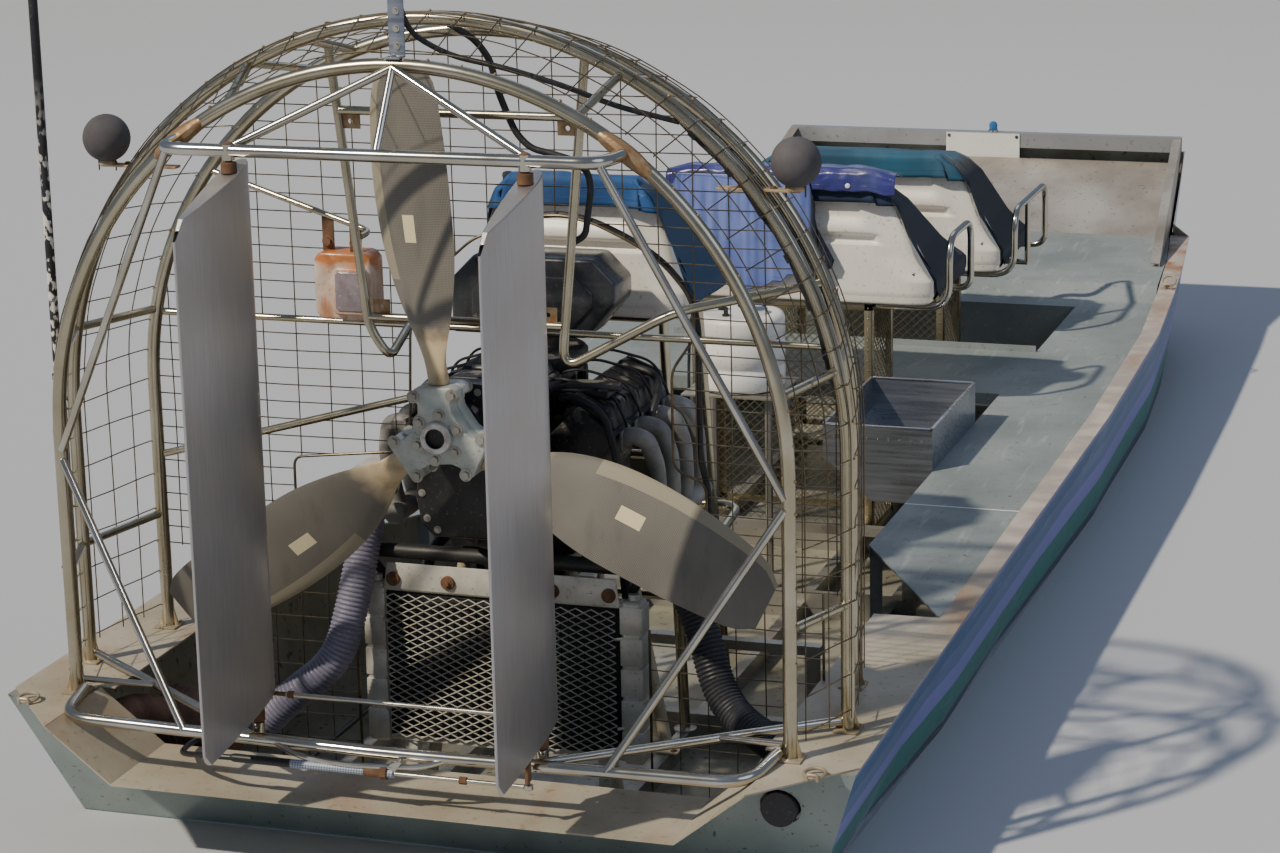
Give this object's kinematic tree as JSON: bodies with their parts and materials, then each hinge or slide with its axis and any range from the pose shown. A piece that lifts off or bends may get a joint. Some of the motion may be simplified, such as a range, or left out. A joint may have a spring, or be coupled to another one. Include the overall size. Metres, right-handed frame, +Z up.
{
  "type": "airboat with a caged three-blade air propeller and twin air rudders",
  "caption": "Flat-bottomed aluminium airboat with a caged air propeller, twin rudders, a raised driver's seat and bench seats.",
  "frame": {"origin": "on the flat hull bottom, on the centreline, right under the plane in which the propeller turns", "axes": "+X to starboard, +Y to the bow, +Z up"},
  "size_m": [2.452, 7.745, 3.07],
  "materials": {
    "hull_paint": "gloss",
    "deck_paint": "matte",
    "cream_paint": "satin",
    "bare_aluminium": "satin",
    "stainless": "satin",
    "wire": "satin",
    "cast_aluminium": "satin",
    "cast_iron": "satin",
    "exhaust": "satin",
    "rusty_steel": "matte",
    "composite": "satin",
    "hose": "matte",
    "black_hose": "matte",
    "shell": "satin",
    "canvas": "matte",
    "white_plastic": "satin",
    "grey_plastic": "matte",
    "black_plastic": "matte",
    "lamp_housing": "satin",
    "blue_plastic": "gloss",
    "sign": "matte"
  },
  "bodies": {
    "boat": {"hull_shell": "hull_paint", "side_deck_port": "deck_paint", "side_deck_starboard": "deck_paint", "cross_deck": "deck_paint", "bow_deck": "deck_paint", "gunwale_and_shelf": "cream_paint", "engine_stand": "cream_paint", "bow_panel": "bare_aluminium", "floor_frame": "bare_aluminium", "tank_stand": "bare_aluminium", "side_box": "bare_aluminium", "bow_rail": "bare_aluminium", "cage_hoop_rear": "stainless", "cage_hoop_middle": "stainless", "cage_hoop_front": "stainless", "cage_inner_frame": "stainless", "rudder_frame_top": "stainless", "rudder_frame_low": "stainless", "driver_stand": "stainless", "bench_frame_row_1": "stainless", "bench_frame_row_2": "stainless", "cage_side_mesh": "wire", "cage_front_mesh": "wire", "radiator": "cast_aluminium", "reduction_drive": "cast_iron", "engine_block": "cast_iron", "headers_port": "exhaust", "headers_starboard": "exhaust", "muffler": "rusty_steel", "exhaust_hose_port": "hose", "exhaust_hose_starboard": "black_hose", "bench_seat_row_1": "shell", "bench_seat_row_2": "shell", "driver_seat": "shell", "bench_cover_row_1": "canvas", "bench_cover_row_2": "canvas", "driver_cover": "canvas", "flag_mast": "white_plastic", "stern_light": "white_plastic", "fuel_tank": "white_plastic", "ball_housing_port": "grey_plastic", "ball_housing_starboard": "grey_plastic", "steering_cable": "black_plastic", "work_lamp": "lamp_housing", "bow_light": "blue_plastic", "sign_plate": "sign"},
    "propeller": {"propeller_hub": "cast_aluminium", "propeller_blade_a": "composite", "propeller_blade_b": "composite", "propeller_blade_c": "composite"},
    "rudder_port": {"rudder_port": "bare_aluminium"},
    "rudder_starboard": {"rudder_starboard": "bare_aluminium"},
    "tie_rod": {"tie_rod": "stainless"},
    "steering_rod": {"steering_rod": "stainless"},
    "steering_stick": {"steering_stick": "bare_aluminium"}
  },
  "joints": [
    {"name": "propeller_spin", "type": "hinge", "parent": "boat", "child": "propeller", "pos_m": [0, 0, 1.307], "axis": [0, 1, 0], "continuous": true},
    {"name": "rudder_port_turn", "type": "hinge", "parent": "boat", "child": "rudder_port", "pos_m": [-0.406, -0.41, 1.3], "axis": [0, 0, 1], "range_deg": [-30, 30]},
    {"name": "rudder_starboard_turn", "type": "hinge", "parent": "boat", "child": "rudder_starboard", "pos_m": [0.406, -0.41, 1.3], "axis": [0, 0, 1], "range_deg": [-30, 30]},
    {"name": "tie_rod_eye", "type": "hinge", "parent": "rudder_port", "child": "tie_rod", "pos_m": [-0.406, -0.332, 0.636], "axis": [0, 0, 1], "range_deg": [-30, 30]},
    {"name": "steering_rod_slide", "type": "slide", "parent": "boat", "child": "steering_rod", "axis": [1, 0, 0], "range_m": [-0.0576, 0.0576]},
    {"name": "steering_stick_swing", "type": "hinge", "parent": "boat", "child": "steering_stick", "pos_m": [-0.385, 1.563, 0.76], "axis": [1, 0, 0], "range_deg": [-15, 15]}
  ],
  "couplings": [
    {"joint": "rudder_starboard_turn", "follows": "rudder_port_turn", "ratio": 1},
    {"joint": "tie_rod_eye", "follows": "rudder_port_turn", "ratio": -1},
    {"joint": "steering_rod_slide", "follows": "rudder_port_turn", "m_per_rad": 0.11},
    {"joint": "steering_stick_swing", "follows": "rudder_port_turn", "ratio": 0.5}
  ]
}
